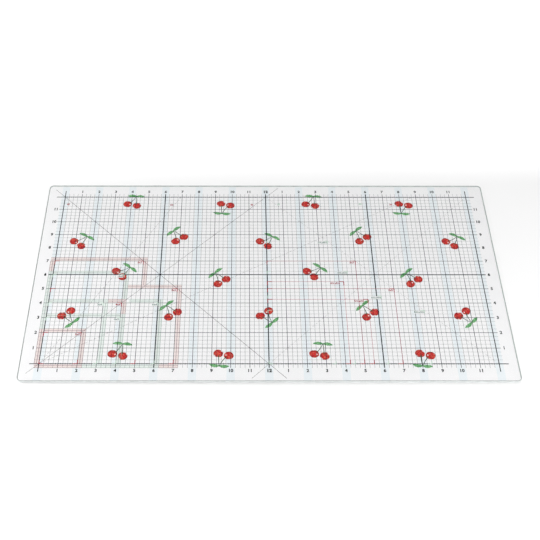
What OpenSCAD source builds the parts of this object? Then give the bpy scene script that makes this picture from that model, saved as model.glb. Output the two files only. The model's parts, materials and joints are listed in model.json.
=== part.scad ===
// Glass cutting mat for quilting and paper craft: a tempered glass plate on six clear
// bumper feet, printed on its underside with an inch ruler grid, angle guides, block
// templates with seam allowances, and scattered cherries over pale stripes.
// Origin: centre of the mat, on the surface it rests on. +X runs along the mat,
// +Y away from the user, +Z up. Every ink is a thin coat of its own; the coats lie
// one under another, so the first coat is the one nearest the glass.

/* [Ruled area] */
// Inches ruled along the mat
ruled_length = 24; // [24:6:48]
// Inches ruled across the mat
ruled_width = 12; // [12:6:24]
// Bare margin from the ruled area to the glass edge, in inches
margin = 1; // [0.8:0.1:2]
// How far the ruled area sits behind the middle of the glass
print_shift = 3; // [0:0.5:4]

/* [Glass] */
// Thickness of the glass
glass_t = 4; // [3:0.5:6]
// Radius of the corners
corner_r = 6; // [4:1:20]
// Bevel ground along the top and bottom edges
bevel = 0.6; // [0.2:0.1:1]
// Bare glass between the printed area and the edge
bare_edge = 1.2; // [0.8:0.2:3]

/* [Feet] */
// Height of a bumper foot
foot_h = 2.2; // [1.5:0.1:4]
// Diameter of a foot where it is stuck on
foot_d = 12.7; // [8:0.1:20]
// Diameter of the flat that a foot stands on
foot_flat_d = 9; // [6:0.5:12]
// Thickness of the adhesive disc on each foot
adhesive_t = 0.3; // [0.2:0.1:0.5]
// Distance from the glass edges to the corner feet
foot_inset = 24; // [16:1:40]

/* [Ink] */
// Thickness of one coat
ink_t = 0.05; // [0.03:0.01:0.1]
// Width of the outermost lines
border_w = 1.25; // [0.8:0.05:2]
// Width of the other six-inch lines
bold_w = 1.5; // [0.8:0.1:2]
// Width of the inch lines
inch_w = 0.75; // [0.4:0.05:1.2]
// Width of the upright quarter-inch lines
quarter_w = 0.35; // [0.2:0.05:0.6]
// Width of the quarter-inch lines that run across
quarter_across_w = 0.25; // [0.2:0.05:0.6]
// Width of the 45 degree guide that runs down from the back left
guide_w = 0.5; // [0.3:0.05:0.8]
// Width of the one that runs up from the front left
rising_guide_w = 0.4; // [0.2:0.05:0.8]
// Width of the dashed angle guides
dashed_guide_w = 0.3; // [0.2:0.05:0.6]
// Width of the finest guides, in the half with the card templates
fine_guide_w = 0.2; // [0.1:0.05:0.6]
// Width of the seam lines and the card outlines
seam_w = 0.5; // [0.2:0.05:0.8]
// Width of the red corner marks
red_mark_w = 1.2; // [0.5:0.1:1.6]
// Width of the green corner marks
green_mark_w = 0.9; // [0.5:0.1:1.6]
// Height of the numerals
numeral_h = 4.8; // [3.5:0.1:6]

/* [Cherries] */
// Diameter of a cherry, in inches
cherry_d = 0.49; // [0.35:0.01:0.6]
// Length of a leaf, in inches
leaf_length = 0.5; // [0.35:0.01:0.7]
// Width of a leaf, in inches
leaf_width = 0.2; // [0.1:0.01:0.25]

/* [Hidden] */
inch = 25.4;
glass_x = (ruled_length + 2 * margin) * inch;
glass_y = (ruled_width + 2 * margin) * inch;

// Coats, counted down from the glass
NUMERAL_COAT = 1;
MARK_COAT = 1;
SEAM_LINE_COAT = 2;
UPRIGHT_COAT = 3;
ACROSS_COAT = 4;
GUIDE_COAT = 5;
STEM_COAT = 6;
CHERRY_COAT = 7;
SEAM_BAND_COAT = 8;
PLAID_COAT = 9;
BACKING_COAT = 10;

backing_z = foot_h + adhesive_t;
glass_z = backing_z + BACKING_COAT * ink_t;

// Lengths of print, in inches
tick = 0.25;         // quarter lines and inch lines run this far past the ruled area
long_tick = 0.5;     // the outermost lines run this far past it
numeral_gap = 0.43;  // from the ruled area to the middle of a numeral
seam = 0.25;         // width of a seam allowance
red_leg = 0.25;      // each leg of a red corner mark
green_leg = 0.2;     // and of a green one
dash = 0.16;
dash_gap = 0.08;
front_reach = margin - 0.1;   // the guides run this far past the ruled area in front
back_reach = margin - 0.25;   // and this far behind, where the margin is narrower
stripe_w = 0.43;
stripe_step = 2;

// Stems and highlights, in millimetres
stem_w = 0.8;
highlight_d = 1.4;

foot_columns = [-1, 0, 1];
foot_rows = [-1, 1];

// Finished templates, [width, height] in inches. The first set starts at the ruled
// corner, the second set at the 12 inch line.
RED_BLOCKS = [[2, 2], [5, 7], [7, 5]];
GREEN_BLOCKS = [[3, 4], [4, 3], [4, 6], [6, 4]];
RED_CARDS = [[4.25, 5.5], [5.5, 4.25], [5, 7], [7, 5]];
GREEN_CARDS = [[3.5, 8.5], [8.5, 3.5], [4.5, 6.25], [6.25, 4.5]];
card_start = 12;

// Seam allowance bands, [left, bottom, right, top] in inches
RED_BANDS = [
    [-seam, -seam, 2 + seam, 0],
    [-seam, 0, 0, 2 + seam],
    [0, 2, 2 + seam, 2 + seam],
    [2, 0, 2 + seam, 2],
    [3 + seam, 4, 4 + seam, 4 + seam],
    [4, 3 + seam, 4 + seam, 4],
    [-seam, 7, 5 + seam, 7 + seam],
    [5, 5 + seam, 5 + seam, 7],
    [-seam, 6 + seam, 0, 7],
    [4 + seam, 5, 7 + seam, 5 + seam],
    [7, 0, 7 + seam, 5],
    [6 + seam, -seam, 7 + seam, 0]
];
GREEN_BANDS = [
    [2 + seam, -seam, 6 + seam, 0],
    [-seam, 2 + seam, 0, 6 + seam],
    [3, 0, 3 + seam, 4],
    [0, 3, 3, 3 + seam],
    [3 + seam, 3, 4, 3 + seam],
    [4, 0, 4 + seam, 3 + seam],
    [4, 4 + seam, 4 + seam, 6 + seam],
    [0, 6, 4, 6 + seam],
    [6, 0, 6 + seam, 4 + seam],
    [0, 4, 3 + seam, 4 + seam],
    [4.4, 4, 6, 4 + seam]
];

// Angle guides, [start, end] in inches: one falling, two rising, then dashed ones and
// finer dashed ones
FALLING_GUIDE = [[-0.6, ruled_width + 0.6], [ruled_width + front_reach, -front_reach]];
RISING_GUIDES = [
    [[-0.6, -0.6], [ruled_width + back_reach, ruled_width + back_reach]],
    [[ruled_width - front_reach, -front_reach], [ruled_width, 0]]
];
DASHED_GUIDES = [
    [[0, 0], [ruled_width * tan(30), ruled_width]],
    [[0, 0], [ruled_width / tan(30), ruled_width]]
];
FINE_GUIDES = [
    [[ruled_width, 0], [2 * ruled_width, ruled_width]],
    [[ruled_width, ruled_width], [2 * ruled_width, 0]]
];

// Pairs of cherries, [x of the first, y, turn in degrees, repeat along the mat]
CHERRY_ROWS = [
    [4.05, 0.55, 0, 10.6],
    [9.62, 0.6, 180, 10.6],
    [1.05, 3.3, -130, 10.75],
    [6.85, 3.2, 49, 10.72],
    [9.48, 5.5, 49, 10.72],
    [3.7, 6.05, -34, 10.72],
    [1.12, 8.3, -25, 10.72],
    [7, 8.65, 49, 10.6],
    [4.05, 11.35, 0, 10.6],
    [9.62, 11.4, 180, 10.6]
];
// The pair itself, in inches, measured from the point midway between its cherries
FRUIT = [[-0.27, 0.08], [0.28, -0.055]];
HIGHLIGHTS = [[-0.125, 0.045], [0.12, -0.14]];
STEMS = [
    [[-0.125, 0.22], [0.08, 0.44], [0.2, 0.7]],
    [[0.25, 0.12], [0.26, 0.42], [0.23, 0.7]]
];
LEAF_ROOT = [0.22, 0.72];
LEAF_TURNS = [174, -9];

// ---- placing and drawing in inches --------------------------------------------------

function steps(first, step, last) = [for (v = [first : step : last + step / 4]) v];
function is_whole(v) = v == floor(v);
function is_bold(v) = v / 6 == floor(v / 6);

// Puts print drawn in millimetres from the ruled corner into its coat
module coat(number) {
    translate([
        -ruled_length * inch / 2,
        -ruled_width * inch / 2 + print_shift,
        glass_z - number * ink_t
    ])
        children();
}

module patch(left, bottom, right, top) {
    translate([left * inch, bottom * inch, 0])
        cube([(right - left) * inch, (top - bottom) * inch, ink_t]);
}

module upright(x, bottom, top, w) {
    translate([x * inch - w / 2, bottom * inch, 0])
        cube([w, (top - bottom) * inch, ink_t]);
}

module across(y, left, right, w) {
    translate([left * inch, y * inch - w / 2, 0])
        cube([(right - left) * inch, w, ink_t]);
}

module stroke(from, to, w) {
    run = to - from;
    translate([from.x * inch, from.y * inch, 0])
        rotate(atan2(run.y, run.x))
            translate([0, -w / 2, 0])
                cube([norm(run) * inch, w, ink_t]);
}

module dashed_stroke(from, to, w) {
    length = norm(to - from);
    along = (to - from) / length;
    for (start = [0 : dash + dash_gap : length - dash])
        stroke(from + along * start, from + along * (start + dash), w);
}

module cherry_pairs() {
    for (row = CHERRY_ROWS)
        for (x = [row[0] : row[3] : ruled_length])
            translate([x * inch, row[1] * inch, 0])
                rotate(row[2])
                    children();
}

// ---- plate and backing --------------------------------------------------------------

// The cross-section of a slab's straight side: a low edge and a high edge at these reaches
module slab_section(low_reach, high_reach, thickness) {
    polygon([
        [-low_reach, 0],
        [low_reach, 0],
        [high_reach, thickness],
        [-high_reach, thickness]
    ]);
}

// A plate with round corners. Its lower edge is set in by low_inset all round, and its
// upper edge by high_inset, so unequal insets give a bevel.
module rounded_slab(thickness, low_inset, high_inset) {
    low_r = corner_r - low_inset;
    high_r = corner_r - high_inset;
    x = glass_x / 2 - corner_r;
    y = glass_y / 2 - corner_r;
    union() {
        rotate([90, 0, 90])
            linear_extrude(2 * x, center = true)
                slab_section(y + low_r, y + high_r, thickness);
        rotate([90, 0, 0])
            linear_extrude(2 * y, center = true)
                slab_section(x + low_r, x + high_r, thickness);
        for (i = [-1, 1], j = [-1, 1])
            translate([i * x, j * y, 0])
                cylinder(r1 = low_r, r2 = high_r, h = thickness, $fn = 64);
    }
}

module glass_plate() {
    color("azure", 0.3)
        translate([0, 0, glass_z]) {
            rounded_slab(bevel, bevel, 0);
            translate([0, 0, bevel])
                rounded_slab(glass_t - 2 * bevel, 0, 0);
            translate([0, 0, glass_t - bevel])
                rounded_slab(bevel, 0, bevel);
        }
}

module white_backing() {
    color("white")
        translate([0, 0, backing_z])
            rounded_slab(ink_t, bare_edge, bare_edge);
}

// ---- stripes and ruler --------------------------------------------------------------

// The stripes fill the backing from front to back, whatever the print's shift
module plaid_stripes() {
    front = -margin + (bare_edge - print_shift) / inch;
    back = ruled_width + margin - (bare_edge + print_shift) / inch;
    color("aliceblue")
        coat(PLAID_COAT)
            for (x = steps(0, stripe_step, ruled_length))
                patch(x - stripe_w / 2, front, x + stripe_w / 2, back);
}

module quarter_lines_upright() {
    color("slategray")
        coat(UPRIGHT_COAT)
            for (x = steps(0, 0.25, ruled_length))
                if (!is_whole(x))
                    upright(x, -tick, ruled_width + tick, quarter_w);
}

module quarter_lines_across() {
    color("slategray")
        coat(ACROSS_COAT)
            for (y = steps(0, 0.25, ruled_width))
                if (!is_whole(y))
                    across(y, -tick, ruled_length + tick, quarter_across_w);
}

module inch_lines_upright() {
    color("dimgray")
        coat(UPRIGHT_COAT)
            for (x = steps(1, 1, ruled_length - 1))
                if (!is_bold(x))
                    upright(x, -tick, ruled_width + tick, inch_w);
}

module inch_lines_across() {
    color("dimgray")
        coat(ACROSS_COAT)
            for (y = steps(1, 1, ruled_width - 1))
                if (!is_bold(y))
                    across(y, -tick, ruled_length + tick, inch_w);
}

module bold_lines_upright() {
    color("darkslategray")
        coat(UPRIGHT_COAT)
            for (x = steps(0, 6, ruled_length))
                if (x == 0 || x == ruled_length)
                    upright(x, -long_tick, ruled_width + long_tick, border_w);
                else
                    upright(x, -tick, ruled_width + tick, bold_w);
}

module bold_lines_across() {
    color("darkslategray")
        coat(ACROSS_COAT)
            for (y = steps(0, 6, ruled_width))
                if (y == 0 || y == ruled_width)
                    across(y, -long_tick, ruled_length + long_tick, border_w);
                else
                    across(y, -tick, ruled_length + tick, bold_w);
}

// Eighth-inch ticks that straddle the front and back rulers
module ruler_ticks() {
    reach = 0.05;
    tick_w = 0.5;
    color("darkslategray")
        coat(UPRIGHT_COAT)
            for (y = [0, ruled_width], x = steps(0.125, 0.25, ruled_length - 0.125))
                upright(x, y - reach, y + reach, tick_w);
}

// ---- numerals -----------------------------------------------------------------------

// Block figures on a grid 3 wide and 5 high. Each is a list of loops: the outline,
// then the holes.
FIGURE_CELL = [3, 5];
SMALL_HOLE = [[1, 1], [2, 1], [2, 2], [1, 2]];
UPPER_HOLE = [[1, 3], [2, 3], [2, 4], [1, 4]];
FULL_BLOCK = [[0, 0], [3, 0], [3, 5], [0, 5]];
FIGURES = [
    [FULL_BLOCK, [[1, 1], [2, 1], [2, 4], [1, 4]]],
    [[[1, 0], [2, 0], [2, 5], [0.4, 4.2], [0.4, 3.2], [1, 3.5]]],
    [[[0, 0], [3, 0], [3, 1], [1, 1], [1, 2], [3, 2], [3, 5], [0, 5], [0, 4], [2, 4],
      [2, 3], [0, 3]]],
    [[[0, 0], [3, 0], [3, 5], [0, 5], [0, 4], [2, 4], [2, 3], [1, 3], [1, 2], [2, 2],
      [2, 1], [0, 1]]],
    [[[2, 0], [3, 0], [3, 5], [2, 5], [2, 2.5], [1, 2.5], [1, 5], [0, 5], [0, 1.5],
      [2, 1.5]]],
    [[[0, 0], [3, 0], [3, 3], [1, 3], [1, 4], [3, 4], [3, 5], [0, 5], [0, 2], [2, 2],
      [2, 1], [0, 1]]],
    [[[0, 0], [3, 0], [3, 3], [1, 3], [1, 4], [3, 4], [3, 5], [0, 5]], SMALL_HOLE],
    [[[1, 0], [2, 0], [3, 4], [3, 5], [0, 5], [0, 4], [2, 4]]],
    [FULL_BLOCK, SMALL_HOLE, UPPER_HOLE],
    [[[0, 0], [3, 0], [3, 5], [0, 5], [0, 2], [2, 2], [2, 1], [0, 1]], UPPER_HOLE]
];

// How many points come before each loop of a figure
function points_before(loops, i) = i == 0 ? 0 : len(loops[i - 1]) + points_before(loops, i - 1);

module figure_shape(digit) {
    loops = FIGURES[digit];
    polygon(
        points = [for (loop = loops) each loop],
        paths = [for (i = [0 : len(loops) - 1]) [for (j = [0 : len(loops[i]) - 1])
            points_before(loops, i) + j]]
    );
}

// A number from 1 to 12, centred on the origin
module number(value) {
    unit = numeral_h / FIGURE_CELL.y;
    advance = FIGURE_CELL.x + 0.8;
    digits = value > 9 ? [floor(value / 10), value % 10] : [value];
    first = -(advance * (len(digits) - 1) + FIGURE_CELL.x) / 2;
    linear_extrude(ink_t)
        scale(unit)
            for (i = [0 : len(digits) - 1])
                translate([first + i * advance, -FIGURE_CELL.y / 2])
                    figure_shape(digits[i]);
}

function clock_number(v) = v % 12 == 0 ? 12 : v % 12;

module numerals() {
    color("black")
        coat(NUMERAL_COAT) {
            for (x = steps(1, 1, ruled_length - 1), y = [-numeral_gap, ruled_width + numeral_gap])
                translate([x * inch, y * inch, 0])
                    number(clock_number(x));
            for (y = steps(1, 1, ruled_width - 1), x = [-numeral_gap, ruled_length + numeral_gap])
                translate([x * inch, y * inch, 0])
                    number(clock_number(y));
        }
}

// ---- angle guides -------------------------------------------------------------------

module angle_guides() {
    color("dimgray")
        coat(GUIDE_COAT) {
            stroke(FALLING_GUIDE[0], FALLING_GUIDE[1], guide_w);
            for (guide = RISING_GUIDES)
                stroke(guide[0], guide[1], rising_guide_w);
            for (guide = DASHED_GUIDES)
                dashed_stroke(guide[0], guide[1], dashed_guide_w);
            for (guide = FINE_GUIDES)
                dashed_stroke(guide[0], guide[1], fine_guide_w);
        }
}

// ---- templates ----------------------------------------------------------------------

module bands(list) {
    for (band = list)
        patch(band[0], band[1], band[2], band[3]);
}

// Each band has a line down its middle and one along its outer side. Its inner side is
// the one at whole inches, which the grid already draws.
module band_lines(list) {
    for (band = list) {
        wide = band[2] - band[0] > band[3] - band[1];
        low = wide ? band[1] : band[0];
        outer = is_whole(low) ? low + seam : low;
        for (place = [low + seam / 2, outer])
            if (wide)
                across(place, band[0], band[2], seam_w);
            else
                upright(place, band[1], band[3], seam_w);
    }
}

module red_seam_bands() {
    color("mistyrose")
        coat(SEAM_BAND_COAT)
            bands(RED_BANDS);
}

module green_seam_bands() {
    color("honeydew")
        coat(SEAM_BAND_COAT)
            bands(GREEN_BANDS);
}

module red_seam_lines() {
    color("brown")
        coat(SEAM_LINE_COAT) {
            band_lines(RED_BANDS);
            for (card = RED_CARDS) {
                across(card.y, card_start, card_start + card.x, seam_w);
                upright(card_start + card.x, 0, card.y, seam_w);
            }
        }
}

module green_seam_lines() {
    color("darkseagreen")
        coat(SEAM_LINE_COAT)
            band_lines(GREEN_BANDS);
}

// Two short legs that meet at a corner and point into the block
module corner_mark(x, y, leg_x, leg_y, w) {
    across(y, min(x, x + leg_x), max(x, x + leg_x), w);
    upright(x, min(y, y + leg_y), max(y, y + leg_y), w);
}

// The marks at a block's corners, all but the one that its whole set shares
module block_marks(start, block, leg, w) {
    corner_mark(start + block.x, 0, -leg, leg, w);
    corner_mark(start, block.y, leg, -leg, w);
    corner_mark(start + block.x, block.y, -leg, -leg, w);
}

module red_corner_marks() {
    color("crimson")
        coat(MARK_COAT) {
            corner_mark(0, 0, red_leg, red_leg, red_mark_w);
            corner_mark(4, 4, -red_leg, -red_leg, red_mark_w);
            for (block = RED_BLOCKS)
                block_marks(0, block, red_leg, red_mark_w);
            for (card = RED_CARDS)
                block_marks(card_start, card, red_leg, red_mark_w);
        }
}

module green_corner_marks() {
    color("honeydew")
        coat(MARK_COAT) {
            corner_mark(card_start, 0, green_leg, green_leg, green_mark_w);
            for (block = GREEN_BLOCKS)
                block_marks(0, block, green_leg, green_mark_w);
            for (card = GREEN_CARDS)
                block_marks(card_start, card, green_leg, green_mark_w);
        }
}

// ---- cherries -----------------------------------------------------------------------

module cherry_fruit() {
    color("crimson")
        coat(CHERRY_COAT)
            cherry_pairs()
                for (spot = FRUIT)
                    translate([spot.x * inch, spot.y * inch, 0])
                        cylinder(d = cherry_d * inch, h = ink_t, $fn = 48);
}

module cherry_highlights() {
    color("mistyrose")
        coat(STEM_COAT)
            cherry_pairs()
                for (spot = HIGHLIGHTS)
                    translate([spot.x * inch, spot.y * inch, 0])
                        cylinder(d = highlight_d, h = ink_t, $fn = 24);
}

// Half the width of a leaf at a share of its length: pointed at both ends
function leaf_half_width(share) = leaf_width / 2 * pow(sin(180 * share), 0.8);

// A leaf starts a little behind its root, so that the two of a pair run together
module leaf() {
    sides = 6;
    behind = 0.03;
    length = leaf_length + behind;
    near_side = [for (i = [0 : sides]) [i / sides * length, leaf_half_width(i / sides)]];
    far_side = [for (i = [sides - 1 : -1 : 1]) [i / sides * length, -leaf_half_width(i / sides)]];
    linear_extrude(ink_t)
        scale(inch)
            translate([-behind, 0])
                polygon(concat(near_side, far_side));
}

module cherry_leaves() {
    color("seagreen")
        coat(CHERRY_COAT)
            cherry_pairs()
                for (turn = LEAF_TURNS)
                    translate([LEAF_ROOT.x * inch, LEAF_ROOT.y * inch, 0])
                        rotate(turn)
                            leaf();
}

module cherry_stems() {
    color("darkgreen")
        coat(STEM_COAT)
            cherry_pairs()
                for (stem = STEMS)
                    for (i = [0 : len(stem) - 2])
                        stroke(stem[i], stem[i + 1], stem_w);
}

// ---- feet ---------------------------------------------------------------------------

module at_feet() {
    for (i = foot_columns, j = foot_rows)
        translate([i * (glass_x / 2 - foot_inset), j * (glass_y / 2 - foot_inset), 0])
            children();
}

module bumper_feet() {
    shoulder = 0.8;
    color("whitesmoke", 0.6)
        at_feet()
            rotate_extrude($fn = 48)
                polygon([
                    [0, 0],
                    [foot_flat_d / 2, 0],
                    [foot_d / 2, foot_h - shoulder],
                    [foot_d / 2, foot_h],
                    [0, foot_h]
                ]);
}

module foot_adhesive_discs() {
    color("lightgray")
        at_feet()
            translate([0, 0, foot_h])
                cylinder(d = foot_d - 0.4, h = adhesive_t, $fn = 48);
}

glass_plate();
white_backing();
plaid_stripes();
quarter_lines_upright();
quarter_lines_across();
inch_lines_upright();
inch_lines_across();
bold_lines_upright();
bold_lines_across();
ruler_ticks();
numerals();
angle_guides();
red_seam_bands();
green_seam_bands();
red_seam_lines();
green_seam_lines();
red_corner_marks();
green_corner_marks();
cherry_fruit();
cherry_highlights();
cherry_leaves();
cherry_stems();
bumper_feet();
foot_adhesive_discs();
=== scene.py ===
"""The looks of a printed glass cutting mat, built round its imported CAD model.

The CAD nodes hold the ruled lines, stripes, bands, marks and backing, and keep their
shape here. The glass, the numerals, the cherries and the feet are remodelled. Lengths
are in metres, and print is placed in inches from the corner of the ruled area.
"""

import json
import math
import random

import bmesh
import bpy
from mathutils import Matrix, Vector


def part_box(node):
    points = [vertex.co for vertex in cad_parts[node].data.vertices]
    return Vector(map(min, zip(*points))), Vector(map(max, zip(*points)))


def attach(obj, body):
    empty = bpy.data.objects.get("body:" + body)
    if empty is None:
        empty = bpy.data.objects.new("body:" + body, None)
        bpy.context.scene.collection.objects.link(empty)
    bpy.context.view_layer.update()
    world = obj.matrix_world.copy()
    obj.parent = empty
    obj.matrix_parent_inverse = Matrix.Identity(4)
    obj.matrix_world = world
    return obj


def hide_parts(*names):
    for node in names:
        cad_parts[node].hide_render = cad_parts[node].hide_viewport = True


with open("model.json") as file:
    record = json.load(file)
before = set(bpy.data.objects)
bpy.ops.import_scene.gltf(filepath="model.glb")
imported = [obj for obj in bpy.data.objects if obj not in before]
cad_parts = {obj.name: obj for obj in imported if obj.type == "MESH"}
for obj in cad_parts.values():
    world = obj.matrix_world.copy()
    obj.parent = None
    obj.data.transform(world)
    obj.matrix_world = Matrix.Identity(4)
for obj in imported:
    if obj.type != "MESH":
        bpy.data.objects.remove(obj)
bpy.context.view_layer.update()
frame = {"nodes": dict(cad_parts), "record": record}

INCH = 0.0254
SEED = 7

# ---- places taken from the CAD model ---------------------------------------------------

glass_low, glass_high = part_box("glass_plate")
rule_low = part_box("bold_lines_across")[0]
upright_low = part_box("bold_lines_upright")[0]
numeral_low, numeral_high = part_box("numerals")
fruit_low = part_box("cherry_fruit")[0]
stem_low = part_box("cherry_stems")[0]
feet_low, feet_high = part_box("bumper_feet")

COAT = numeral_high.z - numeral_low.z
RULED_LENGTH = 24
RULED_WIDTH = 12
LONG_TICK = 0.5
RULE_X = rule_low.x + LONG_TICK * INCH
RULE_Y = upright_low.y + LONG_TICK * INCH


def place(x, y, z):
    """The point x and y inches from the ruled corner, at height z."""
    return Vector((RULE_X + x * INCH, RULE_Y + y * INCH, z))


# ---- materials -------------------------------------------------------------------------


def srgb(red, green, blue):
    """A linear colour from the 0 to 255 numbers of a paint chart."""
    def linear(v):
        v /= 255
        return v / 12.92 if v <= 0.04045 else ((v + 0.055) / 1.055) ** 2.4
    return (linear(red), linear(green), linear(blue), 1.0)


class Nodes:
    """A small helper that adds and joins the nodes of one material."""

    def __init__(self, name):
        self.material = bpy.data.materials.new(name)
        self.material.use_nodes = True
        self.tree = self.material.node_tree
        self.tree.nodes.clear()
        self.output = self.add("ShaderNodeOutputMaterial")
        self.coords = None

    def add(self, kind, **values):
        node = self.tree.nodes.new(kind)
        for key, value in values.items():
            setattr(node, key, value)
        return node

    def join(self, source, target):
        self.tree.links.new(source, target)

    def feed(self, value, target):
        """Joins a socket to the target, or sets a plain value on it."""
        if isinstance(value, bpy.types.NodeSocket):
            self.join(value, target)
        else:
            target.default_value = value

    def place(self):
        if self.coords is None:
            self.coords = self.add("ShaderNodeTexCoord").outputs["Object"]
        return self.coords

    def noise(self, size, detail=3.0, vector=None):
        """Noise whose blotches are about the given size in metres, from 0 to 1."""
        node = self.add("ShaderNodeTexNoise")
        node.inputs["Scale"].default_value = 1 / size
        node.inputs["Detail"].default_value = detail
        self.join(vector or self.place(), node.inputs["Vector"])
        return node.outputs["Fac"]

    def ramp(self, source, *stops):
        """A colour ramp through (position, colour) stops."""
        node = self.add("ShaderNodeValToRGB")
        first, last = node.color_ramp.elements
        first.position, first.color = stops[0]
        last.position, last.color = stops[-1]
        for position, colour in stops[1:-1]:
            node.color_ramp.elements.new(position).color = colour
        self.join(source, node.inputs["Fac"])
        return node.outputs["Color"]

    def mix(self, share, first, second):
        """Two colours mixed. Each may be a colour or a socket, and so may the share."""
        node = self.add("ShaderNodeMix", data_type="RGBA")
        for value, socket in ((share, 0), (first, 6), (second, 7)):
            self.feed(value, node.inputs[socket])
        return node.outputs[2]

    def math(self, operation, value, other):
        """One operation on two values. Each may be a number or a socket."""
        node = self.add("ShaderNodeMath", operation=operation)
        self.feed(value, node.inputs[0])
        self.feed(other, node.inputs[1])
        return node.outputs[0]

    def inches_along(self):
        """Inches along the mat from the ruled corner."""
        apart = self.add("ShaderNodeSeparateXYZ")
        self.join(self.place(), apart.inputs[0])
        return self.math("DIVIDE", self.math("SUBTRACT", apart.outputs["X"], RULE_X), INCH)

    def principled(self, **values):
        node = self.add("ShaderNodeBsdfPrincipled")
        for key, value in values.items():
            self.feed(value, node.inputs[key.replace("_", " ")])
        return node

    def bump(self, height, depth):
        node = self.add("ShaderNodeBump")
        node.inputs["Strength"].default_value = 1.0
        node.inputs["Distance"].default_value = depth
        self.join(height, node.inputs["Height"])
        return node.outputs["Normal"]

    def finish(self, shader):
        self.join(shader.outputs[0], self.output.inputs["Surface"])
        return self.material


def shaded(colour, share):
    """A colour made darker, to the given share."""
    return (*(v * share for v in colour[:3]), 1.0)


def grey(share):
    """A plain grey, which stands for a share from 0 to 1."""
    return (share, share, share, 1.0)


# Ink under glass has hardly any shine of its own, because it touches the glass
CONTACT_SHINE = 0.05
STRIPE_STEP = 2
STRIPE_WIDTH = 0.43
# Inches along the mat where the block templates end and the card templates have yet to start
BLOCKS_END = 9
# Sizes in metres of the slow drift in an ink's density and of its fine grain
DRIFT = 0.02
GRAIN = 0.0004
INK_ROUGHNESS = 0.45


def ink(name, colour, mottle=0.88):
    """Screen-printed ink, with a faint mesh grain and density that drifts down to mottle."""
    n = Nodes(name)
    density = n.noise(DRIFT, detail=2.0)
    grain = n.noise(GRAIN, detail=1.0)
    tone = n.ramp(density, (0.3, shaded(colour, mottle)), (0.7, colour))
    tone = n.mix(n.ramp(grain, (0.35, grey(0.0)), (0.75, grey(0.5))),
                 tone, shaded(colour, mottle * 0.98))
    shader = n.principled(Base_Color=tone, Roughness=INK_ROUGHNESS,
                          Specular_IOR_Level=CONTACT_SHINE)
    n.join(n.bump(grain, 0.00001), shader.inputs["Normal"])
    return n.finish(shader)


def thin_ink(name, colour):
    """A thin wash: the pale stripes that run under it still show, every two inches."""
    n = Nodes(name)
    density = n.noise(DRIFT, detail=2.0)
    tone = n.ramp(density, (0.3, shaded(colour, 0.95)), (0.7, colour))
    from_stripe = n.math("PINGPONG", n.inches_along(), STRIPE_STEP / 2)
    on_stripe = n.math("LESS_THAN", from_stripe, STRIPE_WIDTH / 2)
    tone = n.mix(on_stripe, tone, shaded(colour, 0.9))
    shader = n.principled(Base_Color=tone, Roughness=INK_ROUGHNESS,
                          Specular_IOR_Level=CONTACT_SHINE)
    return n.finish(shader)


def two_part_ink(name, near, far):
    """One ink round the block templates, and a clearer one round the card templates."""
    n = Nodes(name)
    past_blocks = n.math("GREATER_THAN", n.inches_along(), BLOCKS_END)
    grain = n.noise(GRAIN, detail=1.0)
    tone = n.mix(past_blocks, near, far)
    tone = n.mix(n.ramp(grain, (0.35, grey(0.0)), (0.75, grey(0.1))),
                 tone, shaded(near, 0.8))
    shader = n.principled(Base_Color=tone, Roughness=INK_ROUGHNESS,
                          Specular_IOR_Level=CONTACT_SHINE)
    return n.finish(shader)


INKS = {
    "white_ink": srgb(228, 224, 226),
    "pale_blue_ink": srgb(218, 220, 224),
    "grey_ink": srgb(44, 47, 54),
    "charcoal_ink": srgb(40, 43, 50),
    "navy_ink": srgb(34, 38, 46),
    "black_ink": srgb(20, 22, 26),
    "guide_ink": srgb(62, 46, 47),
    "mint_ink": srgb(168, 194, 176),
    "soft_green_ink": srgb(112, 134, 124),
    "red_ink": srgb(150, 18, 38),
}
EVEN_INKS = ("white_ink", "pale_blue_ink")
EVEN_MOTTLE = 0.985
inks = {}
for slot, colour in INKS.items():
    inks[slot] = ink(slot, colour, EVEN_MOTTLE) if slot in EVEN_INKS else ink(slot, colour)
inks["pink_ink"] = thin_ink("pink_ink", srgb(224, 209, 208))
inks["pale_green_ink"] = thin_ink("pale_green_ink", srgb(217, 220, 218))
inks["soft_red_ink"] = two_part_ink("soft_red_ink", srgb(96, 34, 46), srgb(150, 34, 54))


def seen_or_passed(n, seen, shader):
    """The shader where seen is 1. Elsewhere light passes straight through the glass."""
    straight = n.add("ShaderNodeBsdfTransparent")
    straight.inputs["Color"].default_value = (0.975, 0.985, 0.982, 1.0)
    mix = n.add("ShaderNodeMixShader")
    n.join(seen, mix.inputs[0])
    n.join(straight.outputs[0], mix.inputs[1])
    n.join(shader.outputs[0], mix.inputs[2])
    return n.finish(mix)


def clear_glass():
    """Polished glass for the eye; other light passes straight through to the print."""
    n = Nodes("clear_glass")
    glass = n.principled(Base_Color=(0.97, 0.985, 0.98, 1.0), Roughness=0.0, IOR=1.5,
                         Transmission_Weight=1.0)
    path = n.add("ShaderNodeLightPath")
    return seen_or_passed(n, path.outputs["Is Camera Ray"], glass)


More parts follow.
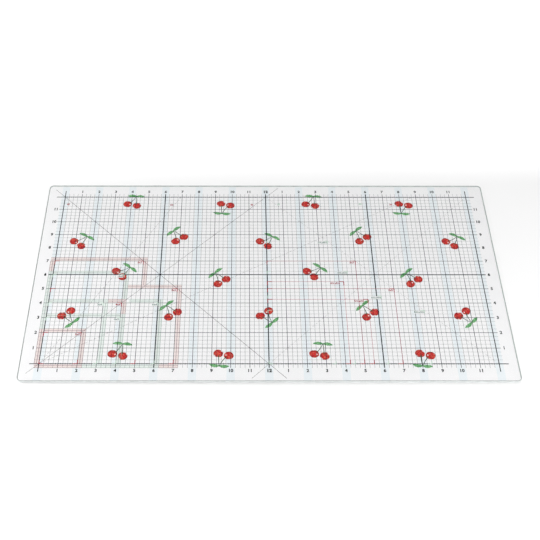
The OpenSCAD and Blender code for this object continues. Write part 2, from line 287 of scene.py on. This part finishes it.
def ground_edge():
    """The ground and polished rim: a little green, with painted shade, darker grey at its top and
    paler at its bottom as painted light bounced up from the floor. Light passes it, so it shades
    nothing.
    """
    n = Nodes("glass_edge")
    streaks = n.noise(0.006, detail=4.0)
    # Painted shade and light: the upper part of the rim is a dark grey and the lower part a pale
    # grey, standing for light bounced up from the floor
    upper = n.ramp(streaks, (0.35, srgb(148, 155, 153)), (0.7, srgb(171, 177, 175)))
    lower = n.ramp(streaks, (0.35, srgb(208, 212, 211)), (0.7, srgb(222, 226, 225)))
    apart = n.add("ShaderNodeSeparateXYZ")
    n.join(n.place(), apart.inputs[0])
    rise = n.math("SUBTRACT", apart.outputs["Z"], glass_low.z)
    share = n.math("DIVIDE", rise, glass_high.z - glass_low.z)
    tone = n.mix(n.ramp(share, (0.25, grey(0.0)), (0.7, grey(1.0))),
                 lower, upper)
    shader = n.principled(Base_Color=tone, Roughness=0.22, IOR=1.5)
    n.join(n.bump(n.noise(0.0008), 0.00002), shader.inputs["Normal"])
    path = n.add("ShaderNodeLightPath")
    passed = n.math("MAXIMUM", path.outputs["Is Shadow Ray"], path.outputs["Is Diffuse Ray"])
    return seen_or_passed(n, n.math("SUBTRACT", 1.0, passed), shader)


def silicone():
    """Clear silicone, cloudy from within."""
    n = Nodes("clear_silicone")
    cloud = n.noise(0.004, detail=3.0)
    tone = n.ramp(cloud, (0.3, srgb(214, 220, 220)), (0.7, srgb(232, 236, 236)))
    shader = n.principled(Base_Color=tone, Roughness=0.32, IOR=1.41, Transmission_Weight=0.55)
    n.join(n.bump(n.noise(0.0012), 0.00004), shader.inputs["Normal"])
    return n.finish(shader)


def adhesive():
    """A clear acrylic adhesive disc with small trapped bubbles."""
    n = Nodes("adhesive")
    bubbles = n.noise(0.0009, detail=2.0)
    tone = n.ramp(bubbles, (0.4, srgb(206, 208, 204)), (0.6, srgb(226, 227, 224)))
    shader = n.principled(Base_Color=tone, Roughness=0.5)
    n.join(n.bump(bubbles, 0.00005), shader.inputs["Normal"])
    return n.finish(shader)


def painted(name, attribute, middle, edge, streak, size):
    """Printed brushwork: a middle tone, a darker outline and paler brush streaks.

    The attribute runs from 0 at the middle of each shape to 1 at its outline.
    """
    n = Nodes(name)
    reach = n.add("ShaderNodeAttribute", attribute_name=attribute).outputs["Fac"]
    wash = n.noise(size, detail=3.0)
    tone = n.ramp(reach, (0.45, middle), (0.98, edge))
    tone = n.mix(n.ramp(wash, (0.46, grey(0.0)), (0.66, grey(0.75))),
                 tone, streak)
    shade = n.noise(size * 1.7, detail=2.0)
    tone = n.mix(n.ramp(shade, (0.55, grey(0.0)), (0.72, grey(0.6))),
                 tone, edge)
    shader = n.principled(Base_Color=tone, Roughness=INK_ROUGHNESS,
                          Specular_IOR_Level=CONTACT_SHINE)
    return n.finish(shader)


REACH = "reach"
cherry_red = painted("cherry_red_ink", REACH, srgb(184, 32, 34), srgb(138, 14, 24),
                     srgb(216, 100, 80), 0.0022)
leaf_green = painted("leaf_green_ink", REACH, srgb(88, 150, 94), srgb(62, 126, 74),
                     srgb(150, 198, 144), 0.0018)
stem_green = ink("stem_green_ink", srgb(50, 82, 54))


def lay_flat(thing, slot):
    """Stops a film of print shading the white under it: the real coats touch each other."""
    if slot.endswith("_ink") and slot != "white_ink":
        thing.visible_shadow = False
        thing.visible_diffuse = False


for node, thing in frame["nodes"].items():
    slot = next(p["material_slot"] for p in frame["record"]["subparts"] if p["node"] == node)
    if slot in inks:
        thing.data.materials.clear()
        thing.data.materials.append(inks[slot])
        lay_flat(thing, slot)

adhesive_discs = frame["nodes"]["foot_adhesive_discs"]
adhesive_discs.data.materials.clear()
adhesive_discs.data.materials.append(adhesive())

# ---- building pieces -------------------------------------------------------------------


def piece(name, slot, materials, mesh, nodes=()):
    """Makes an object of a mesh, gives it its body and its materials, and hides the CAD nodes
    that it stands for.
    """
    for material in materials:
        mesh.materials.append(material)
    made = bpy.data.objects.new(name, mesh)
    bpy.context.scene.collection.objects.link(made)
    lay_flat(made, slot)
    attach(made, "root")
    if nodes:
        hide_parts(*nodes)


class Film:
    """Flat printed shapes of one coat, gathered into one mesh."""

    def __init__(self, low, thickness=COAT):
        self.low = low
        self.high = low + thickness
        self.points = []
        self.faces = []
        self.reach = []

    def add(self, outline, middle=None):
        """A closed outline of (x, y) inches. With a middle, its reach fades from 1 to 0."""
        first = len(self.points)
        count = len(outline)
        for z in (self.high, self.low):
            self.points += [place(x, y, z) for x, y in outline]
        self.reach += [1.0] * (2 * count)
        top = range(first, first + count)
        bottom = range(first + count, first + 2 * count)
        if middle is None:
            self.faces.append(tuple(top))
        else:
            hub = len(self.points)
            self.points.append(place(*middle, self.high))
            self.reach.append(0.0)
            self.faces += [(hub, top[i], top[(i + 1) % count]) for i in range(count)]
        self.faces.append(tuple(reversed(bottom)))
        for i in range(count):
            j = (i + 1) % count
            self.faces.append((top[i], bottom[i], bottom[j], top[j]))

    def mesh(self, name):
        made = bpy.data.meshes.new(name)
        made.from_pydata(self.points, [], self.faces)
        reach = made.attributes.new(REACH, "FLOAT", "POINT")
        reach.data.foreach_set("value", self.reach)
        made.validate()
        return made


# ---- the glass -------------------------------------------------------------------------


def rounded_outline(half_x, half_y, radius, steps=12):
    """Points anticlockwise round a rectangle with round corners, centred on the origin."""
    corners = ((1, -1, 270), (1, 1, 0), (-1, 1, 90), (-1, -1, 180))
    points = []
    for sign_x, sign_y, start in corners:
        for i in range(steps + 1):
            angle = math.radians(start + 90 * i / steps)
            points.append((sign_x * (half_x - radius) + radius * math.cos(angle),
                           sign_y * (half_y - radius) + radius * math.sin(angle)))
    return points


def rim_levels(low, high, hollow, steps=5):
    """Heights and insets up the rim, from one face of the glass to the other.

    This is a fault: the real rim is rounded over. Here the inset is nothing at the faces and
    grows to hollow between them, so a groove runs round the rim.
    """
    levels = []
    for i in range(steps + 1):
        angle = math.radians(90 * i / steps)
        levels.append((hollow * (1 - math.cos(angle)), hollow * math.sin(angle)))
    lower = [(low + rise, inset) for rise, inset in levels]
    upper = [(high - rise, inset) for rise, inset in reversed(levels)]
    return lower + upper


def build_glass():
    """The plate: clear faces, and a rim of its own material that is hollowed by a groove."""
    corner_radius = 0.006
    hollow = 0.0009
    rim_slot = 1
    half_x = (glass_high.x - glass_low.x) / 2
    half_y = (glass_high.y - glass_low.y) / 2
    bm = bmesh.new()
    rings = []
    for z, inset in rim_levels(glass_low.z, glass_high.z, hollow):
        outline = rounded_outline(half_x - inset, half_y - inset, corner_radius - inset)
        rings.append([bm.verts.new((x, y, z)) for x, y in outline])
    count = len(rings[0])
    bm.faces.new(list(reversed(rings[0])))
    bm.faces.new(rings[-1])
    for low, high in zip(rings, rings[1:]):
        for i in range(count):
            j = (i + 1) % count
            side = bm.faces.new((low[i], low[j], high[j], high[i]))
            side.material_index = rim_slot
            side.smooth = True
    mesh = bpy.data.meshes.new("glass_plate_polished")
    bm.to_mesh(mesh)
    bm.free()
    piece("glass_plate_polished", "clear_glass", [clear_glass(), ground_edge()], mesh,
          ["glass_plate"])


build_glass()

# ---- numerals and labels ---------------------------------------------------------------


# How far each stroke is thickened on both sides, in inches
PLAIN = 0.006
BOLD = 0.011
HEAVY = 0.017
# The font's size over the height of its figures
SIZE_OVER_HEIGHT = 1.37


def lettering(name, slot, entries, low, thickness=COAT, nodes=()):
    """Flat print of (text, x, y, height, weight), centred, all in inches, as one mesh."""
    bm = bmesh.new()
    for text, x, y, height, weight in entries:
        curve = bpy.data.curves.new("figure", "FONT")
        curve.body = text
        curve.size = (height - 2 * weight) * INCH * SIZE_OVER_HEIGHT
        curve.offset = weight * INCH
        curve.align_x = "CENTER"
        curve.align_y = "CENTER"
        curve.resolution_u = 3
        curve.extrude = thickness / 2
        figure = bpy.data.objects.new("figure", curve)
        figure.location = place(x, y, low + thickness / 2)
        bpy.context.scene.collection.objects.link(figure)
        bpy.context.view_layer.update()
        solid = bpy.data.meshes.new_from_object(figure.evaluated_get(
            bpy.context.evaluated_depsgraph_get()))
        solid.transform(figure.matrix_world)
        bm.from_mesh(solid)
        bpy.data.objects.remove(figure)
        bpy.data.meshes.remove(solid)
        bpy.data.curves.remove(curve)
    bmesh.ops.remove_doubles(bm, verts=bm.verts, dist=1e-7)
    mesh = bpy.data.meshes.new(name)
    bm.to_mesh(mesh)
    bm.free()
    piece(name, slot, [inks[slot]], mesh, nodes)


NUMERAL_HEIGHT = 0.215
TWELVE_HEIGHT = 0.235
NUMERAL_GAP = 0.43


def clock_number(i):
    """1 to 12, then from 1 again."""
    return str(i % 12 or 12)


def numeral_entries():
    """The numbers outside all four sides of the ruled area. The 12s along the length are taller
    and heavier, and the 6s up the sides are heavier.
    """
    entries = []
    for i in range(1, RULED_LENGTH):
        height, weight = (TWELVE_HEIGHT, HEAVY) if i % 12 == 0 else (NUMERAL_HEIGHT, BOLD)
        for y in (-NUMERAL_GAP, RULED_WIDTH + NUMERAL_GAP):
            entries.append((clock_number(i), i, y, height, weight))
    for i in range(1, RULED_WIDTH):
        weight = HEAVY if i % 6 == 0 else BOLD
        for x in (-NUMERAL_GAP, RULED_LENGTH + NUMERAL_GAP):
            entries.append((clock_number(i), x, i, NUMERAL_HEIGHT, weight))
    return entries


lettering("ruler_numerals", "black_ink", numeral_entries(), numeral_low.z, nodes=["numerals"])

LABEL_HEIGHT = 0.14
LABEL_DROP = 0.12
# From a label's middle to its block's far side: one such as 2x2, and one with fractions
SHORT_ROOM = 0.195
LONG_ROOM = 0.48
CARD_START = 12
QUARTER = "\u00bc"
HALF = "\u00bd"


def is_short(text):
    """True for a size without fractions, such as 2x2."""
    return len(text) == 3


def size_entries(start, blocks):
    """The size of each block, written inside its far corner."""
    entries = []
    for wide, high, text in blocks:
        room = SHORT_ROOM if is_short(text) else LONG_ROOM
        entries.append((text, start + wide - room, high - LABEL_DROP, LABEL_HEIGHT, PLAIN))
    return entries


lettering("red_size_labels", "red_ink",
          size_entries(0, [(2, 2, "2x2"), (4, 4, "4x4"), (5, 7, "5x7"), (7, 5, "7x5")])
          + size_entries(CARD_START, [(4.25, 5.5, f"4{QUARTER}x5{HALF}"),
                                      (5.5, 4.25, f"5{HALF}x4{QUARTER}"),
                                      (5, 7, "5x7"), (7, 5, "7x5")]),
          numeral_low.z)

# The green labels stand on white patches that cover the grid and the cherries
green_labels = (size_entries(0, [(3, 4, "3x4"), (4, 3, "4x3"), (4, 6, "4x6"), (6, 4, "6x4")])
                + [(f"3{HALF}x8{HALF}", 15.22, 8.385, LABEL_HEIGHT, PLAIN),
                   (f"8{HALF}x3{HALF}", 20.22, 3.37, LABEL_HEIGHT, PLAIN),
                   (f"4{HALF}x6{QUARTER}", 16.22, 6.13, LABEL_HEIGHT, PLAIN),
                   (f"6{QUARTER}x4{HALF}", 17.97, 4.37, LABEL_HEIGHT, PLAIN)])


def build_label_patches(labels, low):
    """A white patch behind each label, as long as its text needs."""
    patches = Film(low, COAT / 2)
    half_y = 0.095
    for text, x, y, _, _ in labels:
        half_x = 0.14 if is_short(text) else 0.25
        patches.add([(x - half_x, y - half_y), (x + half_x, y - half_y),
                     (x + half_x, y + half_y), (x - half_x, y + half_y)])
    piece("label_patches", "white_ink", [inks["white_ink"]], patches.mesh("label_patches"))


build_label_patches(green_labels, numeral_low.z)
lettering("green_size_labels", "soft_green_ink", green_labels, numeral_low.z + COAT / 2,
          COAT / 2)
lettering("angle_labels", "red_ink",
          [("45", 0.25, 11.4, LABEL_HEIGHT, PLAIN),
           ("60", 6.4, 11.36, LABEL_HEIGHT, PLAIN),
           ("45", 11.18, 11.37, LABEL_HEIGHT, PLAIN),
           ("30", 19.44, 11.39, LABEL_HEIGHT, PLAIN)],
          numeral_low.z)
lettering("fine_angle_labels", "mint_ink",
          [("45", 12.76, 11.41, LABEL_HEIGHT, PLAIN),
           ("60", 17.63, 11.43, LABEL_HEIGHT, PLAIN)],
          numeral_low.z)

# ---- cherries --------------------------------------------------------------------------

# Pairs of cherries: x of the first, y, turn in degrees, and repeat along the mat
CHERRY_ROWS = [
    (4.05, 0.55, 0, 10.6),
    (9.62, 0.6, 180, 10.6),
    (1.05, 3.3, -130, 10.75),
    (6.85, 3.2, 49, 10.72),
    (9.48, 5.5, 49, 10.72),
    (3.7, 6.05, -34, 10.72),
    (1.12, 8.3, -25, 10.72),
    (7.0, 8.65, 49, 10.6),
    (4.05, 11.35, 0, 10.6),
    (9.62, 11.4, 180, 10.6),
]
LEFT_FRUIT = (-0.27, 0.08)
RIGHT_FRUIT = (0.28, -0.055)
FRUIT_RADIUS = 0.252
LEAF_ROOT = (0.22, 0.72)


def cherry_spots():
    """The middle and turn of every pair."""
    for first, y, turn, repeat in CHERRY_ROWS:
        x = first
        while x <= RULED_LENGTH:
            yield x, y, math.radians(turn)
            x += repeat


def turned(points, x, y, angle):
    """Points of the pair's own drawing, turned and moved into place."""
    c, s = math.cos(angle), math.sin(angle)
    return [(x + c * px - s * py, y + s * px + c * py) for px, py in points]


def fruit_outline(spot, draw):
    """A cherry: nearly round, with a dimple at the top and an unsteady painted edge."""
    steps = 40
    dimple_depth = 0.021
    dimple_spread = 0.28
    wobble = [draw.uniform(-0.01, 0.01) for _ in range(3)]
    points = []
    for i in range(steps):
        a = math.tau * i / steps
        from_top = math.atan2(math.sin(a - math.pi / 2), math.cos(a - math.pi / 2))
        dimple = dimple_depth * math.exp(-(from_top / dimple_spread) ** 2)
        waver = sum(w * math.sin((k + 2) * a + 5 * w) for k, w in enumerate(wobble))
        r = FRUIT_RADIUS - dimple + waver / 2
        points.append((spot[0] + 1.02 * r * math.cos(a), spot[1] + 0.98 * r * math.sin(a)))
    return points


def leaf_outline(root, angle, length, width, curl):
    """A pointed leaf whose midrib bends by curl, with a slightly toothed edge.

    It starts a little behind its root, so that the two of a pair run together.
    """
    steps = 14
    behind = 0.04
    upper = []
    lower = []
    for i in range(steps + 1):
        t = i / steps
        half = width / 2 * math.sin(math.pi * t) ** 0.75 * (1 + 0.08 * math.sin(9 * math.pi * t))
        bend = curl * math.sin(math.pi * t)
        upper.append((t * (length + behind) - behind, bend + half))
        lower.append((t * (length + behind) - behind, bend - half))
    outline = lower + upper[-2:0:-1]
    return turned(outline, *root, angle)


def rim_shine(spot, start, end):
    """A crescent just inside a cherry's outline, between two angles."""
    steps = 8
    thickness = 0.045
    r = FRUIT_RADIUS - 0.006
    outer = []
    inner = []
    for i in range(steps + 1):
        t = i / steps
        angle = math.radians(start + (end - start) * t)
        depth = thickness * math.sin(math.pi * t)
        outer.append((spot[0] + r * math.cos(angle), spot[1] + r * math.sin(angle)))
        inner.append((spot[0] + (r - depth) * math.cos(angle),
                      spot[1] + (r - depth) * math.sin(angle)))
    return outer + inner[-2:0:-1]


def spot_shine(x, y, wide, high):
    """A small oval highlight."""
    steps = 12
    return [(x + wide / 2 * math.cos(math.tau * i / steps),
             y + high / 2 * math.sin(math.tau * i / steps)) for i in range(steps)]


def stem_outline(points, width):
    """A tapered brush stroke along points."""
    left = []
    right = []
    for i, (x, y) in enumerate(points):
        ahead = points[min(i + 1, len(points) - 1)]
        behind = points[max(i - 1, 0)]
        dx, dy = ahead[0] - behind[0], ahead[1] - behind[1]
        size = math.hypot(dx, dy)
        half = width / 2 * (1.25 - 0.5 * i / (len(points) - 1))
        left.append((x - dy / size * half, y + dx / size * half))
        right.append((x + dy / size * half, y - dx / size * half))
    return left + right[::-1]


def curve_points(start, control, end, steps=8):
    """A quadratic curve."""
    points = []
    for i in range(steps + 1):
        t = i / steps
        a, b, c = (1 - t) ** 2, 2 * t * (1 - t), t * t
        points.append((a * start[0] + b * control[0] + c * end[0],
                       a * start[1] + b * control[1] + c * end[1]))
    return points


def build_cherries():
    """The fruit, their highlights, their leaves and their stems, each a coat of print."""
    draw = random.Random(SEED)
    fruit = Film(fruit_low.z)
    leaves = Film(fruit_low.z)
    stems = Film(stem_low.z)
    shines = Film(stem_low.z)
    stem_lines = (curve_points((-0.15, 0.16), (0.05, 0.34), (0.21, 0.72)),
                  curve_points((0.25, 0.05), (0.26, 0.42), (0.23, 0.72)))
    shine_shapes = (spot_shine(-0.125, 0.045, 0.07, 0.09), rim_shine(RIGHT_FRUIT, 195, 240),
                    rim_shine(RIGHT_FRUIT, 18, 50))
    for x, y, angle in cherry_spots():
        for spot in (LEFT_FRUIT, RIGHT_FRUIT):
            fruit.add(turned(fruit_outline(spot, draw), x, y, angle),
                      turned([spot], x, y, angle)[0])
        for shape in shine_shapes:
            shines.add(turned(shape, x, y, angle))
        for turn, curl in ((177, -0.03), (-9, 0.035)):
            outline = leaf_outline(LEAF_ROOT, math.radians(turn), 0.53, 0.2, curl)
            middle = turned([(0.26, curl)], *LEAF_ROOT, math.radians(turn))
            leaves.add(turned(outline, x, y, angle), turned(middle, x, y, angle)[0])
        for line in stem_lines:
            stems.add(turned(stem_outline(line, 0.04), x, y, angle))
    piece("painted_cherries", "cherry_red_ink", [cherry_red], fruit.mesh("painted_cherries"),
          ["cherry_fruit"])
    piece("painted_leaves", "leaf_green_ink", [leaf_green], leaves.mesh("painted_leaves"),
          ["cherry_leaves"])
    piece("painted_stems", "stem_green_ink", [stem_green], stems.mesh("painted_stems"),
          ["cherry_stems"])
    piece("painted_highlights", "pink_ink", [inks["pink_ink"]], shines.mesh("painted_highlights"),
          ["cherry_highlights"])


build_cherries()

# ---- feet ------------------------------------------------------------------------------


def build_feet():
    """Six soft domed bumpers, turned as one profile each."""
    radius = 0.00635
    flat = 0.0045
    height = feet_high.z - feet_low.z
    shoulder = 0.0008
    steps = 8
    segments = 48
    profile = [(flat * 0.8, 0.0)]
    for i in range(steps + 1):
        a = math.radians(90 * i / steps)
        profile.append((flat + (radius - flat) * math.sin(a),
                        (height - shoulder) * (1 - math.cos(a))))
    profile.append((radius, height))
    bm = bmesh.new()
    for x in (feet_low.x + radius, 0.0, feet_high.x - radius):
        for y in (feet_low.y + radius, feet_high.y - radius):
            rings = []
            for r, z in profile:
                rings.append([bm.verts.new((x + r * math.cos(math.tau * i / segments),
                                            y + r * math.sin(math.tau * i / segments),
                                            feet_low.z + z)) for i in range(segments)])
            bm.faces.new(list(reversed(rings[0])))
            bm.faces.new(rings[-1])
            for low, high in zip(rings, rings[1:]):
                for i in range(segments):
                    j = (i + 1) % segments
                    face = bm.faces.new((low[i], low[j], high[j], high[i]))
                    face.smooth = True
    mesh = bpy.data.meshes.new("domed_feet")
    bm.to_mesh(mesh)
    bm.free()
    piece("domed_feet", "clear_silicone", [silicone()], mesh, ["bumper_feet"])


build_feet()

# ---- stage, light and camera -----------------------------------------------------------


def build_floor():
    """A plain pale floor. In low views its far edge shows."""
    size = 6.0
    bpy.ops.mesh.primitive_plane_add(size=size, location=(0, 0, 0))
    floor = bpy.context.object
    floor.name = "floor"
    n = Nodes("pale_floor")
    tone = n.ramp(n.noise(0.3), (0.3, srgb(226, 226, 226)), (0.7, srgb(228, 228, 228)))
    floor.data.materials.append(n.finish(n.principled(Base_Color=tone, Roughness=0.7)))


def build_world():
    """Soft studio light: one broad overhead glow, a little in front and to the left.

    The side that the glass would mirror stays dim, so the print keeps its colours.
    """
    world = bpy.data.worlds.new("studio")
    bpy.context.scene.world = world
    world.use_nodes = True
    tree = world.node_tree
    tree.nodes.clear()
    direction = tree.nodes.new("ShaderNodeTexCoord").outputs["Generated"]
    toward = tree.nodes.new("ShaderNodeVectorMath")
    toward.operation = "DOT_PRODUCT"
    toward.inputs[1].default_value = Vector((-0.15, -0.25, 0.95)).normalized()
    tree.links.new(direction, toward.inputs[0])
    spread = tree.nodes.new("ShaderNodeMapRange")
    spread.interpolation_type = "SMOOTHSTEP"
    spread.inputs["From Min"].default_value = math.cos(math.radians(47))
    spread.inputs["From Max"].default_value = math.cos(math.radians(37))
    spread.inputs["To Min"].default_value = 0.2
    spread.inputs["To Max"].default_value = 1.25
    tree.links.new(toward.outputs["Value"], spread.inputs["Value"])
    background = tree.nodes.new("ShaderNodeBackground")
    background.inputs["Color"].default_value = (1.0, 1.0, 1.0, 1.0)
    tree.links.new(spread.outputs["Result"], background.inputs["Strength"])
    output = tree.nodes.new("ShaderNodeOutputWorld")
    tree.links.new(background.outputs[0], output.inputs["Surface"])


def softbox(name, spot, target, width, height, power):
    """A softbox that stands at spot and faces its target. The glass doesn't mirror it."""
    data = bpy.data.lights.new(name, "AREA")
    data.shape = "RECTANGLE"
    data.size = width
    data.size_y = height
    data.energy = power
    light = bpy.data.objects.new(name, data)
    facing = Vector(target) - Vector(spot)
    light.matrix_world = (Matrix.Translation(spot)
                          @ facing.to_track_quat("-Z", "Y").to_matrix().to_4x4())
    light.visible_camera = False
    light.visible_glossy = False
    bpy.context.scene.collection.objects.link(light)


def build_softboxes():
    """Low ones in front and at both sides, so the light falls away to the middle and back.

    A broad one behind gives the mat its soft shadow in front. The last lights only the
    floor that lies behind the mat.
    """
    middle = (0.0, 0.0, 0.0)
    softbox("front_softbox", (0.0, -1.2, 0.7), middle, 2.6, 0.5, 7.0)
    softbox("left_softbox", (-0.85, -0.2, 0.5), middle, 0.4, 0.4, 3.1)
    softbox("right_softbox", (0.85, -0.5, 0.5), middle, 0.4, 0.4, 3.9)
    softbox("back_softbox", (-1.2, 2.1, 2.3), middle, 2.2, 2.2, 42.0)
    softbox("floor_softbox", (0.0, 0.9, 0.71), (0.0, 1.61, 0.0), 3.0, 1.7, 40.0)


def build_camera():
    """Looks down at the mat squarely from in front. The picture is cropped off centre."""
    azimuth = math.radians(0.235)
    elevation = math.radians(50.399)
    roll = math.radians(0.212)
    distance = 1.3929
    target = Vector((-0.033, RULE_Y + 6.335 * INCH, glass_low.z + 0.0018))
    look = Vector((math.sin(azimuth) * math.cos(elevation),
                   math.cos(azimuth) * math.cos(elevation), -math.sin(elevation)))
    data = bpy.data.cameras.new("camera")
    data.sensor_width = 36.0
    data.lens = 64.99
    data.shift_x = 0.0481
    data.dof.use_dof = False
    camera = bpy.data.objects.new("camera", data)
    facing = look.to_track_quat("-Z", "Y").to_matrix().to_4x4()
    camera.matrix_world = (Matrix.Translation(target - distance * look) @ facing
                           @ Matrix.Rotation(roll, 4, "Z"))
    bpy.context.scene.collection.objects.link(camera)
    bpy.context.scene.camera = camera


build_floor()
build_world()
build_softboxes()
build_camera()
bpy.context.scene.view_settings.view_transform = "Standard"
# The denoiser takes its guides as they are, so that the finest lines stay
bpy.context.scene.cycles.denoising_prefilter = "NONE"
